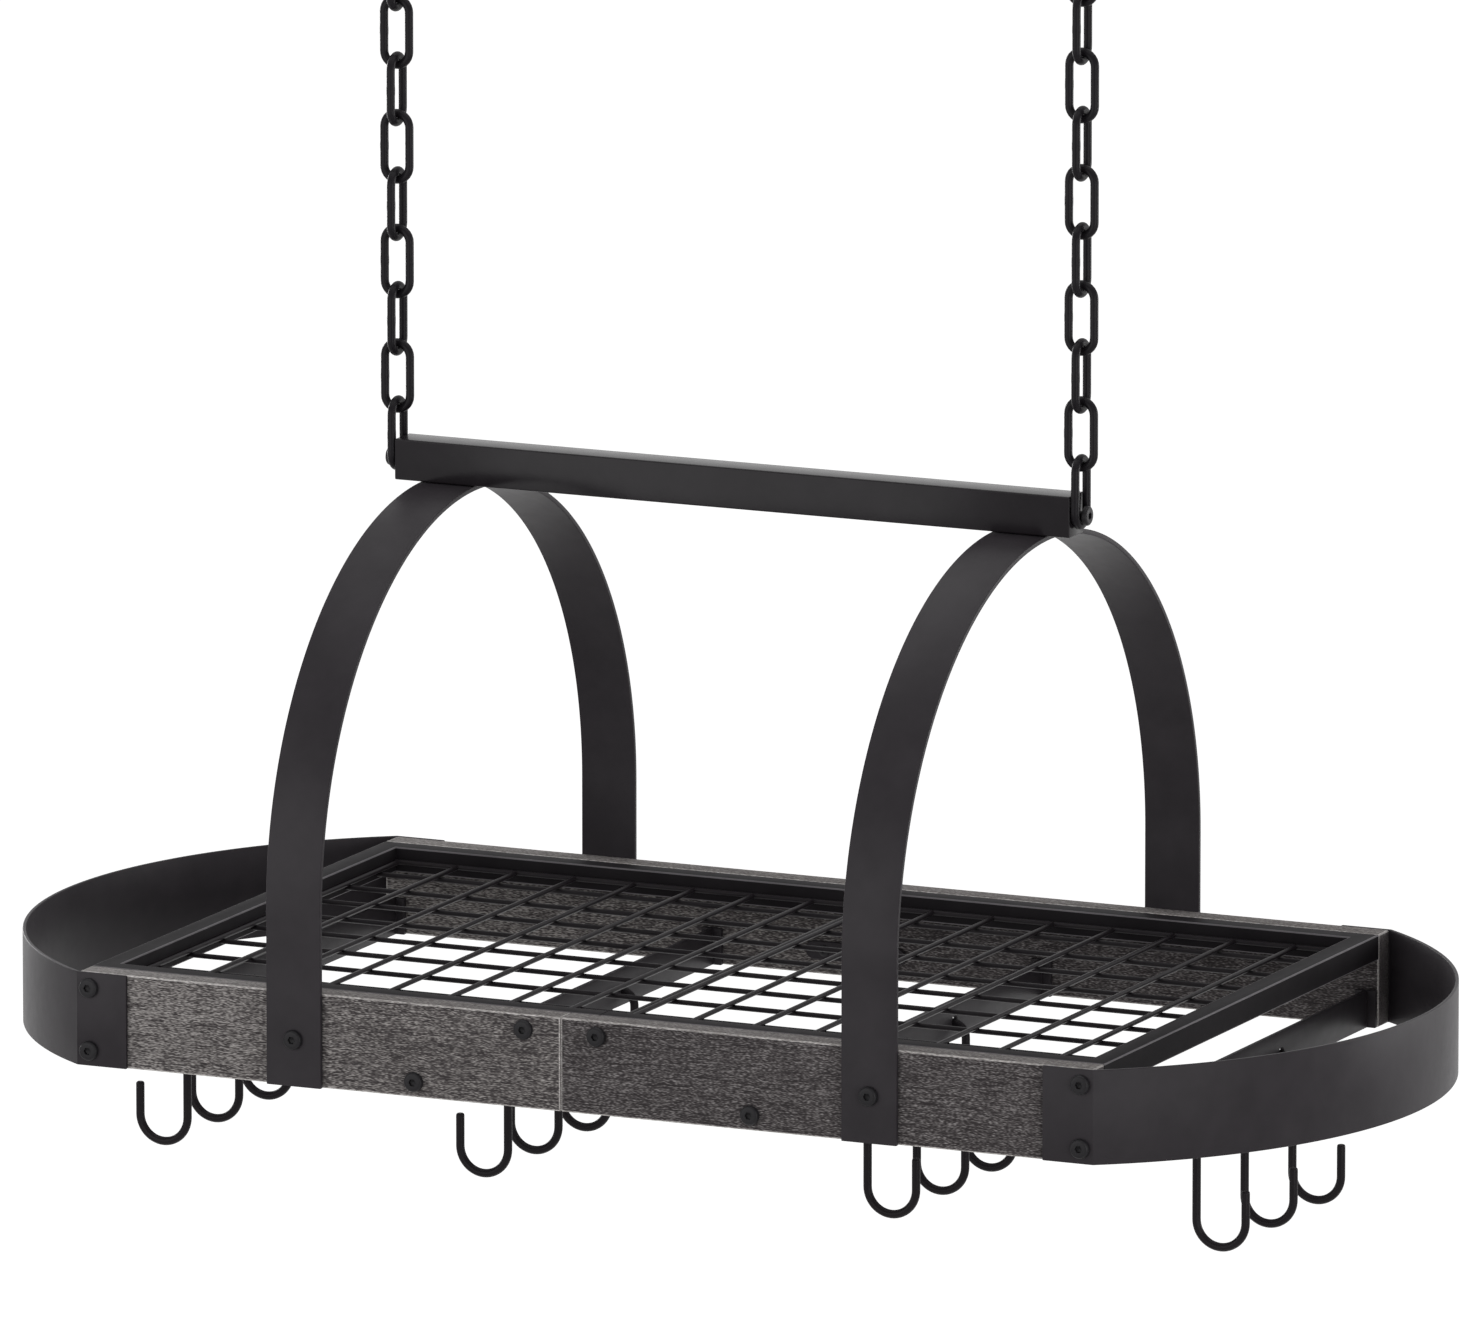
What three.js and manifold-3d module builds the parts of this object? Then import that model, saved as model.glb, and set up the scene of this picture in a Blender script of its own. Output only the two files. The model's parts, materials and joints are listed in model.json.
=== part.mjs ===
// Hanging pot rack: two chains carry a top bar, two flat-strap arches hang from the bar, and the
// arches carry a rim of grey boards with rounded end bands, two wire trays, four crossbars and
// twelve pot hooks. Millimetres, +Z up. X runs along the rack and Y from front to back.
// The origin lies in the ceiling plane, midway between the two ceiling hooks.
import * as THREE from "three";
import { mergeVertices } from "three/addons/utils/BufferGeometryUtils.js";
import Module from "manifold-3d";

// ---- driving dimensions ----
const gap = 0.3; // between pieces that touch

// ceiling hooks
const flangeRadius = 25;
const flangeThickness = 4;
const flangeScrewCircle = 17;
const flangeScrewRadius = 2.4;
const hookWire = 6;
const hookRingRadius = 12; // to the middle of the wire
const hookNeck = 10; // from the flange to the ring
const hookMouth = THREE.MathUtils.degToRad(62); // the open part of the ring

// chains
const linkWire = 5;
const linkLength = 44;
const linkWidth = 21;
const linksPerChain = 11;
const linkPitch = linkLength - 2 * linkWire - gap;

// top bar and the bolts in its ends
const barLength = 428;
const barDepth = 20;
const barHeight = 24;
const barCorner = 1.6;
const chainBoltRadius = 3;

// arches
const barToBoards = 261.6; // from the bar's underside to the boards' top
const archX = 181.4;
const archWidth = 34.5;
const archThickness = 3;

// boards
const boardHeight = 55;
const boardThickness = 15;
const boardOuterY = 210.7;
const boardEndX = 319.5;
const seamX = -13.5; // where the left and right boards meet
const boardChamfer = 0.9;

// end bands
const bandThickness = 2;
const bandOuterY = boardOuterY + gap + bandThickness;
const creaseX = 320;
const bandTab = 31;
const bandReach = 111; // from the crease to the tip of the band

// trays
const railWidth = 13;
const railHeight = 15;
const railWall = 1.5;
const meshWire = 3;
const traySeamX = 3.9; // where the left and right trays meet
const meshDrop = 7; // from the rail's top to the top of the wires
const meshStepX = 38.5;
const meshStepY = 42.1;
const meshWiresY = 9; // wires that run front to back, in each tray
const meshWiresX = 8; // wires that run along the rack under them, in each tray

// crossbars and pot hooks
const crossbarX = [-312.5, -106, 106, 312.5];
const crossbarThickness = 2.6;
const crossbarHeight = 22;
const crossbarPlateWidth = 13;
const crossbarPlateThickness = 3;
const hookStepY = 68.4;
const potHookWire = 5;
const potHookLoop = 8.35; // radius of the upper loop, to the middle of the wire
const potHookBowl = 15.3; // radius of the lower bowl
const potHookDrop = 83.8; // between the wire's middle at the loop's crown and at the bowl's foot
const potHookTip = 36.7; // the tip's height above the underside of the bowl
const potHookLoopEnd = 8; // the straight end of the loop
const potHookHoleRadius = 3.6;

// button-head bolts
const boltRadius = 2.5;
const headRadius = 5.8;
const headHeight = 3;
const socketRadius = 2;
const upperBoltDrop = 9; // below the boards' top
const lowerBoltRise = 9; // above the boards' underside
const seamBoltOffset = 23; // on each side of the seam
const archBoltDepth = 11; // how far the arches' bolts reach into the boards

// splice plates
const spliceHalfLength = 32;
const spliceRadius = 5.5;
const spliceThickness = 2;
const spliceRise = 14.5; // from the boards' underside to the plate's middle
const spliceScrewX = 20;
const spliceScrewRadius = 3.4;

// facets
const wireSides = 7;
const meshWireSides = 6;
const boltSides = 8;
const holeSides = 8;
const roundHoleSides = 10;

// ---- worked out from them ----
const boltHole = (boltRadius + gap) / Math.cos(Math.PI / holeSides);
const chainBoltHole = (chainBoltRadius + gap) / Math.cos(Math.PI / holeSides);
const ringBottomZ = -(flangeThickness + hookNeck + 2 * hookRingRadius);
const linkCrown = (linkLength - linkWire) / 2; // from a link's middle to the middle of its end wire
const topLinkZ = ringBottomZ + hookWire / 2 + gap + linkWire / 2 - linkCrown;
const bottomLinkZ = topLinkZ - (linksPerChain - 1) * linkPitch;
const barZ = bottomLinkZ - linkCrown + linkWire / 2 + gap + chainBoltRadius;
const barUnderZ = barZ - barHeight / 2;
const boardTopZ = barUnderZ - barToBoards;
const boardUnderZ = boardTopZ - boardHeight;
const boardMidZ = boardTopZ - boardHeight / 2;
const boardInnerY = boardOuterY - boardThickness;
const chainX = barLength / 2 + gap + linkWire / 2;
const upperBoltZ = boardTopZ - upperBoltDrop;
const lowerBoltZ = boardUnderZ + lowerBoltRise;
const railOuterY = boardInnerY - gap;
const railInnerY = railOuterY - railWidth;
const railEndX = boardEndX;
const railInnerX = railEndX - railWidth;

// ---- finishes ----
const finish = (color, roughness, metalness) =>
  new THREE.MeshStandardMaterial({ color, roughness, metalness });
const blackSteel = finish(0x2d2b2e, 0.5, 0.35);
const blackChain = finish(0x262528, 0.45, 0.4);
const blackBolt = finish(0x232224, 0.5, 0.45);
const blackWire = finish(0x2b292b, 0.5, 0.3);
const greyBoard = finish(0x5e5a56, 0.85, 0);

// ---- solids ----
const wasm = await Module();
wasm.setup();

// A closed geometry as a solid that can be joined and cut.
function solid(geometry) {
  const bare = geometry.clone();
  bare.deleteAttribute("normal");
  bare.deleteAttribute("uv");
  const merged = mergeVertices(bare, 1e-4);
  return new wasm.Manifold(
    new wasm.Mesh({
      numProp: 3,
      vertProperties: merged.attributes.position.array,
      triVerts: new Uint32Array(merged.index.array),
    }),
  );
}

function geometryOf(manifold) {
  const { vertProperties, triVerts } = manifold.getMesh();
  const geometry = new THREE.BufferGeometry();
  geometry.setAttribute("position", new THREE.BufferAttribute(vertProperties, 3));
  geometry.setIndex(new THREE.BufferAttribute(triVerts, 1));
  geometry.computeVertexNormals();
  return geometry;
}

const joined = (parts) => parts.reduce((all, part) => all.add(part));

const box = (x0, x1, y0, y1, z0, z1) =>
  new THREE.BoxGeometry(x1 - x0, y1 - y0, z1 - z0).translate(
    (x0 + x1) / 2,
    (y0 + y1) / 2,
    (z0 + z1) / 2,
  );

const extruded = (shape, depth) =>
  new THREE.ExtrudeGeometry(shape, { depth, bevelEnabled: false, curveSegments: 4 });

// Turns a solid drawn on XY and extruded along Z into one drawn on YZ and extruded along X.
const drawnOnYZ = new THREE.Matrix4().makeBasis(
  new THREE.Vector3(0, 1, 0),
  new THREE.Vector3(0, 0, 1),
  new THREE.Vector3(1, 0, 0),
);
const alongX = (shape, x0, x1) =>
  extruded(shape, x1 - x0).applyMatrix4(drawnOnYZ).translate(x0, 0, 0);

// A round rod from one X to another, at (y, z).
const rodX = (radius, sides, x0, x1, y, z) =>
  new THREE.CylinderGeometry(radius, radius, Math.abs(x1 - x0), sides)
    .rotateZ(Math.PI / 2)
    .translate((x0 + x1) / 2, y, z);

// A round rod from one Y to another, at (x, z).
const rodY = (radius, sides, x, y0, y1, z) =>
  new THREE.CylinderGeometry(radius, radius, Math.abs(y1 - y0), sides).translate(
    x,
    (y0 + y1) / 2,
    z,
  );

// A round rod from one Z to another, at (x, y).
const rodZ = (radius, sides, x, y, z0, z1) =>
  new THREE.CylinderGeometry(radius, radius, Math.abs(z1 - z0), sides)
    .rotateX(Math.PI / 2)
    .translate(x, y, (z0 + z1) / 2);

// Unit directions at the points of a flat line, each halfway between its two neighbours' stretches.
function directions(points, closed) {
  const n = points.length;
  return points.map((p, i) => {
    const before = points[closed ? (i + n - 1) % n : Math.max(i - 1, 0)];
    const after = points[closed ? (i + 1) % n : Math.min(i + 1, n - 1)];
    const arriving = p.clone().sub(before).normalize();
    const leaving = after.clone().sub(p).normalize();
    return arriving.add(leaving).normalize();
  });
}

// A round wire along a flat line drawn on XZ, closed into a ring or ended with flat faces.
function wire(line, diameter, sides, closed) {
  const along = directions(line, closed);
  const positions = [];
  const faces = [];
  line.forEach((p, i) => {
    for (let k = 0; k < sides; k++) {
      const turn = ((k + 0.5) * 2 * Math.PI) / sides;
      const across = (Math.cos(turn) * diameter) / 2;
      const y = (Math.sin(turn) * diameter) / 2;
      positions.push(p.x - along[i].y * across, y, p.y + along[i].x * across);
    }
  });
  const rings = closed ? line.length : line.length - 1;
  for (let i = 0; i < rings; i++) {
    const here = i * sides;
    const next = ((i + 1) % line.length) * sides;
    for (let k = 0; k < sides; k++) {
      const j = (k + 1) % sides;
      faces.push(here + k, next + k, here + j, here + j, next + k, next + j);
    }
  }
  if (!closed) {
    const last = (line.length - 1) * sides;
    for (let k = 1; k < sides - 1; k++) {
      faces.push(0, k, k + 1, last, last + k + 1, last + k);
    }
  }
  const geometry = new THREE.BufferGeometry();
  geometry.setAttribute("position", new THREE.Float32BufferAttribute(positions, 3));
  geometry.setIndex(faces);
  geometry.computeVertexNormals();
  return geometry;
}

// The outline of a flat strap of even thickness, seen on its edge, along a line of points.
function strapOutline(line, thickness) {
  const along = directions(line, false);
  const side = (sign) =>
    line.map((p, i) => {
      const first = line[Math.max(i - 1, 0)];
      const stretch = line[Math.max(i, 1)].clone().sub(first).normalize();
      const offset = (sign * thickness) / 2 / along[i].dot(stretch);
      return new THREE.Vector2(p.x - along[i].y * offset, p.y + along[i].x * offset);
    });
  return new THREE.Shape([...side(1), ...side(-1).reverse()]);
}

// A button-head bolt with a hexagonal socket: its head's underside lies at y = 0, the head
// stands towards -Y and the shank runs towards +Y.
function bolt(shankRadius, length) {
  const profile = [
    [0, -length],
    [shankRadius, -length],
    [shankRadius, 0],
    [headRadius, 0],
    [headRadius * 0.94, headHeight * 0.45],
    [headRadius * 0.66, headHeight],
    [0, headHeight],
  ].map(([r, y]) => new THREE.Vector2(r, y));
  const turned = solid(new THREE.LatheGeometry(profile, boltSides).rotateX(Math.PI));
  const socket = solid(rodY(socketRadius, 6, 0, -headHeight - 1, -headHeight * 0.25, 0));
  return turned.subtract(socket);
}

// A front bolt at (x, z), its head on the outer face `faceY` and its tip at `tipY`. A bolt on the
// back of the rack is the same one turned half round.
function boardBolt(side, x, z, faceY, tipY) {
  const b = bolt(boltRadius, faceY - tipY);
  return b.rotate([0, 0, side < 0 ? 0 : 180]).translate([x, side * faceY, z]);
}

const root = new THREE.Group();

function place(name, shape, material, x = 0, y = 0, z = 0) {
  const geometry = shape.isBufferGeometry ? shape : geometryOf(shape);
  const mesh = new THREE.Mesh(geometry, material.clone());
  mesh.name = name;
  mesh.position.set(x, y, z);
  root.add(mesh);
  return mesh;
}

const sides = [
  ["left", -1],
  ["right", 1],
];

// ---- ceiling hooks ----
function ceilingHook() {
  const ringZ = ringBottomZ + hookRingRadius;
  const flange = solid(rodZ(flangeRadius, 20, 0, 0, -flangeThickness, 0));
  const neck = solid(rodZ(hookWire / 2, wireSides, 0, 0, -flangeThickness - hookNeck - 1, -1));
  const line = new THREE.Path();
  line.absarc(0, ringZ, hookRingRadius, Math.PI / 2, Math.PI * 2.5 - hookMouth, false);
  const ring = solid(wire(line.getPoints(7), hookWire, wireSides, false));
  const holes = [0, 1, 2].map((k) => {
    const turn = (k * 2 * Math.PI) / 3 + Math.PI / 2;
    const x = flangeScrewCircle * Math.cos(turn);
    const y = flangeScrewCircle * Math.sin(turn);
    return solid(rodZ(flangeScrewRadius, holeSides, x, y, -flangeThickness - 1, 1));
  });
  return joined([flange, neck, ring]).subtract(joined(holes));
}
for (const [side, sign] of sides) {
  place(`ceiling_hook_${side}`, ceilingHook(), blackSteel, sign * chainX);
}

// ---- chains ----
function linkRing() {
  const radius = (linkWidth - linkWire) / 2;
  const straight = linkCrown - radius;
  const line = new THREE.Path();
  line.absarc(0, straight, radius, 0, Math.PI, false);
  line.absarc(0, -straight, radius, Math.PI, 2 * Math.PI, false);
  return wire(line.getPoints(3), linkWire, wireSides, true);
}
const linkAcross = linkRing();
const linkEdgeOn = linkRing().rotateZ(Math.PI / 2);
for (const [side, sign] of sides) {
  for (let i = 0; i < linksPerChain; i++) {
    const name = `chain_link_${side}_${String(i + 1).padStart(2, "0")}`;
    const z = topLinkZ - i * linkPitch;
    place(name, i % 2 ? linkAcross : linkEdgeOn, blackChain, sign * chainX, 0, z);
  }
}

// ---- top bar and its bolts ----
function topBar() {
  const section = new THREE.Shape();
  const y = barDepth / 2;
  const z = barHeight / 2;
  section.moveTo(-y + barCorner, -z);
  section.lineTo(y - barCorner, -z);
  section.absarc(y - barCorner, -z + barCorner, barCorner, -Math.PI / 2, 0, false);
  section.lineTo(y, z - barCorner);
  section.absarc(y - barCorner, z - barCorner, barCorner, 0, Math.PI / 2, false);
  section.lineTo(-y + barCorner, z);
  section.absarc(-y + barCorner, z - barCorner, barCorner, Math.PI / 2, Math.PI, false);
  section.lineTo(-y, -z + barCorner);
  section.absarc(-y + barCorner, -z + barCorner, barCorner, Math.PI, Math.PI * 1.5, false);
  const half = barLength / 2;
  const bar = solid(alongX(section, -half, half).translate(0, 0, barZ));
  const cuts = sides.flatMap(([, sign]) => [
    solid(rodX(chainBoltHole, holeSides, sign * (half - 16), sign * (half + 1), 0, barZ)),
    solid(rodZ(boltHole, holeSides, sign * archX, 0, barUnderZ - 1, barUnderZ + 13)),
  ]);
  return bar.subtract(joined(cuts));
}
place("top_bar", topBar(), blackSteel);
for (const [side, sign] of sides) {
  const b = bolt(chainBoltRadius, linkWire + 2 * gap + 14).rotate([0, 0, sign * 90]);
  place(`chain_bolt_${side}`, b, blackBolt, sign * (barLength / 2 + linkWire + 2 * gap), 0, barZ);
}

// ---- arches ----
function arch(x) {
  const legY = boardOuterY + gap + archThickness / 2;
  const springZ = barUnderZ - gap - archThickness / 2 - legY;
  const line = new THREE.Path();
  line.moveTo(legY, boardUnderZ);
  line.lineTo(legY, springZ);
  line.absarc(0, springZ, legY, 0, Math.PI, false);
  line.lineTo(-legY, boardUnderZ);
  const outline = strapOutline(line.getPoints(15), archThickness);
  const strap = solid(alongX(outline, x - archWidth / 2, x + archWidth / 2));
  const hole = solid(rodZ(boltHole, holeSides, x, 0, barUnderZ - 8, barUnderZ + 1));
  const faceY = boardOuterY + gap + archThickness;
  const bolts = [-1, 1].map((side) =>
    boardBolt(side, x, boardMidZ, faceY, boardOuterY - archBoltDepth),
  );
  return joined([strap.subtract(hole), ...bolts]);
}
for (const [side, sign] of sides) {
  place(`arch_${side}`, arch(sign * archX), blackSteel);
  const b = bolt(boltRadius, archThickness + 2 * gap + 10).rotate([90, 0, 0]);
  place(`arch_bolt_${side}`, b, blackBolt, sign * archX, 0, barUnderZ - archThickness - 2 * gap);
}

// ---- boards ----
function board(side, x0, x1, holes) {
  const section = new THREE.Shape();
  const c = boardChamfer;
  const y = boardThickness / 2;
  const z = boardHeight / 2;
  section.moveTo(-y + c, -z);
  section.lineTo(y - c, -z);
  section.lineTo(y, -z + c);
  section.lineTo(y, z - c);
  section.lineTo(y - c, z);
  section.lineTo(-y + c, z);
  section.lineTo(-y, z - c);
  section.lineTo(-y, -z + c);
  const midY = side * (boardOuterY - boardThickness / 2);
  const plank = solid(alongX(section, x0, x1).translate(0, midY, boardMidZ));
  const cuts = holes.map(([x, z, depth = boardThickness + 1]) => {
    const y0 = side * (boardOuterY + 1);
    return solid(rodY(boltHole, holeSides, x, y0, side * (boardOuterY - depth), z));
  });
  return plank.subtract(joined(cuts));
}
const leftHoles = [
  [crossbarX[0], upperBoltZ],
  [crossbarX[0], lowerBoltZ],
  [-archX, boardMidZ, archBoltDepth + gap],
  [crossbarX[1], lowerBoltZ],
  [seamX - seamBoltOffset, upperBoltZ],
];
const rightHoles = [
  [seamX + seamBoltOffset, upperBoltZ],
  [crossbarX[2], lowerBoltZ],
  [archX, boardMidZ, archBoltDepth + gap],
  [crossbarX[3], lowerBoltZ],
  [crossbarX[3], upperBoltZ],
];
const boardFaces = [
  ["front", -1],
  ["back", 1],
];
for (const [face, side] of boardFaces) {
  const seam = gap / 2;
  place(`board_${face}_left`, board(side, -boardEndX, seamX - seam, leftHoles), greyBoard);
  place(`board_${face}_right`, board(side, seamX + seam, boardEndX, rightHoles), greyBoard);
}

// ---- end bands ----
function endBand(sign) {
  const midY = bandOuterY - bandThickness / 2;
  const reach = bandReach - bandThickness / 2;
  const radius = (midY ** 2 + reach ** 2) / (2 * reach);
  const centreX = creaseX + reach - radius;
  const half = Math.atan2(midY, creaseX - centreX);
  const line = new THREE.Path();
  line.moveTo(creaseX - bandTab, -midY);
  line.lineTo(creaseX, -midY);
  line.absarc(centreX, 0, radius, -half, half, false);
  line.lineTo(creaseX - bandTab, midY);
  const strip = solid(extruded(strapOutline(line.getPoints(14), bandThickness), boardHeight));
  const x = crossbarX[3];
  const plateY = boardInnerY - gap - crossbarPlateThickness;
  const bolts = [-1, 1].flatMap((side) => [
    boardBolt(side, x, upperBoltZ, bandOuterY, railOuterY - railWall - 1),
    boardBolt(side, x, lowerBoltZ, bandOuterY, plateY + gap),
  ]);
  const band = joined([strip.translate([0, 0, boardUnderZ]), ...bolts]);
  return sign > 0 ? band : band.rotate([0, 0, 180]);
}
for (const [side, sign] of sides) {
  place(`end_band_${side}`, endBand(sign), blackSteel);
}

// ---- trays: a rail of rectangular tube on three sides, and a mesh of welded wires in it ----
function uShape(endX, outerY, innerX, innerY, openX) {
  const shape = new THREE.Shape();
  shape.moveTo(openX, -outerY);
  shape.lineTo(endX, -outerY);
  shape.lineTo(endX, outerY);
  shape.lineTo(openX, outerY);
  shape.lineTo(openX, innerY);
  shape.lineTo(innerX, innerY);
  shape.lineTo(innerX, -innerY);
  shape.lineTo(openX, -innerY);
  return shape;
}
// The rail is drawn for the right half; the left one is the same, turned half round.
function trayRail(sign) {
  const w = railWall;
  const openX = sign * traySeamX + gap / 2;
  const outside = uShape(railEndX, railOuterY, railInnerX, railInnerY, openX);
  const inside = uShape(railEndX - w, railOuterY - w, railInnerX + w, railInnerY + w, openX - 1);
  const tube = solid(extruded(outside, railHeight).translate(0, 0, -railHeight)).subtract(
    solid(extruded(inside, railHeight - 2 * w).translate(0, 0, w - railHeight)),
  );
  const rail = (sign > 0 ? tube : tube.rotate([0, 0, 180])).translate([0, 0, boardTopZ]);
  const cuts = [-1, 1].map((side) => {
    const y = side * (railOuterY - railWall / 2);
    return solid(rodY(boltHole, holeSides, crossbarX[sign < 0 ? 0 : 3], y - 3, y + 3, upperBoltZ));
  });
  const x = seamX + sign * seamBoltOffset;
  const bolts = [-1, 1].map((side) =>
    boardBolt(side, x, upperBoltZ, boardOuterY + gap, railOuterY - railWall - 1),
  );
  return joined([rail.subtract(joined(cuts)), ...bolts]);
}
// The wires' grid starts at the seam and at the front, so its last cells are narrower ones.
function trayMesh(sign) {
  const highZ = boardTopZ - meshDrop - meshWire / 2;
  const lowZ = highZ - meshWire + 0.2;
  const endX = railInnerX - gap;
  const rimX = endX - meshWire / 2;
  const rimY = railInnerY - gap - meshWire / 2;
  const seamEndX = traySeamX + (sign * gap) / 2;
  const acrossRack = (x) => solid(rodY(meshWire / 2, meshWireSides, x, -rimY, rimY, highZ));
  const alongRack = (y, z) => solid(rodX(meshWire / 2, meshWireSides, seamEndX, sign * endX, y, z));
  const wires = [acrossRack(seamEndX + (sign * meshWire) / 2)];
  for (let k = 1; k < meshWiresY; k++) {
    const reach = sign * (traySeamX + sign * k * meshStepX);
    wires.push(acrossRack(sign * Math.min(reach, rimX)));
  }
  wires.push(alongRack(-rimY, highZ), alongRack(rimY, highZ));
  for (let k = 1; k <= meshWiresX; k++) {
    wires.push(alongRack(-rimY + k * meshStepY, lowZ));
  }
  return joined(wires);
}
for (const [side, sign] of sides) {
  place(`tray_rail_${side}`, trayRail(sign), blackSteel);
  place(`tray_mesh_${side}`, trayMesh(sign), blackWire);
}

// ---- splice plates behind the board seams ----
function splicePlate(side) {
  const centreX = spliceHalfLength - spliceRadius;
  const shape = new THREE.Shape();
  shape.absarc(centreX, 0, spliceRadius, -Math.PI / 2, Math.PI / 2, false);
  shape.absarc(-centreX, 0, spliceRadius, Math.PI / 2, Math.PI * 1.5, false);
  const plate = solid(extruded(shape, spliceThickness).rotateX(Math.PI / 2));
  const headY = -spliceThickness - 1.2;
  const screws = [-spliceScrewX, spliceScrewX].map((x) =>
    solid(rodY(spliceScrewRadius, holeSides, x, headY, -spliceThickness / 2, 0)),
  );
  const whole = joined([plate, ...screws]);
  return side > 0 ? whole : whole.rotate([0, 0, 180]);
}
for (const [face, side] of boardFaces) {
  const y = side * (boardInnerY - gap);
  const z = boardUnderZ + spliceRise;
  place(`splice_plate_${face}`, splicePlate(side), blackSteel, seamX, y, z);
}

// ---- crossbars ----
const hookCrownZ = boardUnderZ + 8.5;
const hookHoleZ = hookCrownZ - potHookWire / 2 - gap - 0.1 + potHookHoleRadius;
function crossbar(x, ownBolts) {
  const plateOuterY = boardInnerY - gap;
  const plateInnerY = plateOuterY - crossbarPlateThickness;
  const z0 = boardUnderZ;
  const z1 = boardUnderZ + crossbarHeight;
  const t = crossbarThickness / 2;
  const w = crossbarPlateWidth / 2;
  const bar = solid(box(x - t, x + t, -plateInnerY - 1, plateInnerY + 1, z0, z1));
  const plates = [-1, 1].map((side) => {
    const y0 = Math.min(side * plateInnerY, side * plateOuterY);
    return solid(box(x - w, x + w, y0, y0 + crossbarPlateThickness, z0, z1));
  });
  const holes = [-1, 0, 1].map((k) =>
    solid(rodX(potHookHoleRadius, roundHoleSides, x - 5, x + 5, k * hookStepY, hookHoleZ)),
  );
  const body = joined([bar, ...plates]).subtract(joined(holes));
  const ends = [-1, 1];
  if (ownBolts) {
    const bolts = ends.map((side) =>
      boardBolt(side, x, lowerBoltZ, boardOuterY + gap, plateOuterY - 1.5),
    );
    return joined([body, ...bolts]);
  }
  const tapped = ends.map((side) => {
    const y = side * plateOuterY;
    return solid(rodY(boltHole, holeSides, x, y - 3 * (side > 0 ? 1 : -1), y + side, lowerBoltZ));
  });
  return body.subtract(joined(tapped));
}
crossbarX.forEach((x, i) => {
  place(`crossbar_${i + 1}`, crossbar(x, i === 1 || i === 2), blackSteel);
});

// ---- pot hooks ----
// Drawn on XZ with the crown of the upper loop at the origin; the bowl opens towards +X.
function potHook() {
  const bowlX = potHookLoop + potHookBowl;
  const bowlZ = -potHookDrop + potHookBowl;
  const tipZ = -potHookDrop - potHookWire / 2 + potHookTip;
  const line = new THREE.Path();
  line.moveTo(bowlX + potHookBowl, tipZ);
  line.lineTo(bowlX + potHookBowl, bowlZ);
  line.absarc(bowlX, bowlZ, potHookBowl, 0, -Math.PI, true);
  line.absarc(0, -potHookLoop, potHookLoop, 0, Math.PI, false);
  line.lineTo(-potHookLoop, -potHookLoop - potHookLoopEnd);
  return wire(line.getPoints(3), potHookWire, wireSides, false);
}
const hookToRight = potHook();
const hookToLeft = potHook().rotateZ(Math.PI);
crossbarX.forEach((x, bar) => {
  [-1, 0, 1].forEach((k, row) => {
    const name = `pot_hook_${String(bar * 3 + row + 1).padStart(2, "0")}`;
    place(name, x < 0 ? hookToLeft : hookToRight, blackWire, x, k * hookStepY, hookCrownZ);
  });
});

export default root;
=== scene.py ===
# Hanging pot rack: two steel chains carry a top bar, two strap arches, a rim of grey weathered boards
# with rounded end bands, two wire trays, four crossbars and twelve S-hooks.
# Lengths are in millimetres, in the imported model's frame: +X along the rack, +Y to the back, +Z up.
import json
import math

import bmesh
import bpy
from mathutils import Matrix, Vector


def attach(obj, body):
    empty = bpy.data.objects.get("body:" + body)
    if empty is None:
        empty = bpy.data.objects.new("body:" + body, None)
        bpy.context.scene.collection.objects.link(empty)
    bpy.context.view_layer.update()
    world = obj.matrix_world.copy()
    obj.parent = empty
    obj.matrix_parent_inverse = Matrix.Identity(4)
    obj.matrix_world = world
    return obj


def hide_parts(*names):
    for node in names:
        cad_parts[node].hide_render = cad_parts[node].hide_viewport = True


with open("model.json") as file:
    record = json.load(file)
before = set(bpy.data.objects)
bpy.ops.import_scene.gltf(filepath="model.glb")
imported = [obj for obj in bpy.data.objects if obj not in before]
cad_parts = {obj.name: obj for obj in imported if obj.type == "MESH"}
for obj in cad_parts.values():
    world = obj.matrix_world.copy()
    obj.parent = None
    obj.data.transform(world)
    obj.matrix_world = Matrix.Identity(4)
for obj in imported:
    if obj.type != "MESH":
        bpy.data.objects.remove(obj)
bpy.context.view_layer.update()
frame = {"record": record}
BODY_OF = {
    node: body
    for body, nodes in frame["record"]["behaviour"]["bodies"].items()
    for node in nodes
}
MM = 0.001
X, Y, Z = Vector((1, 0, 0)), Vector((0, 1, 0)), Vector((0, 0, 1))
SIDES = (("left", -1), ("right", 1))
FACES = (("front", -1), ("back", 1))

# ---- driving sizes, the same as the solids' ----
GAP = 0.3  # the clearance between fitted pieces
# ceiling hooks, hung from z = 0; the ring's mouth is in degrees
FLANGE_RADIUS, FLANGE_THICKNESS, SCREW_CIRCLE, SCREW_HOLE = 25, 4, 17, 2.4
RING_WIRE, RING_RADIUS, RING_NECK, RING_MOUTH = 6, 12, 10, 62
RING_BOTTOM_Z = -(FLANGE_THICKNESS + RING_NECK + 2 * RING_RADIUS)
# the cone between the flange and the neck: its radius at each depth below the flange
NECK_CONE = ((6.5, 0), (4.2, 1.2), (3.2, 2), (RING_WIRE / 2, 3.2))
# chains
LINK_WIRE, LINK_LENGTH, LINK_WIDTH, LINKS = 5, 44, 21, 11
LINK_PITCH = LINK_LENGTH - 2 * LINK_WIRE - GAP
LINK_CROWN = (LINK_LENGTH - LINK_WIRE) / 2
TOP_LINK_Z = RING_BOTTOM_Z + RING_WIRE / 2 + GAP + LINK_WIRE / 2 - LINK_CROWN
LAST_LINK_Z = TOP_LINK_Z - (LINKS - 1) * LINK_PITCH
CHAIN_BOLT_RADIUS = 3
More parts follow.
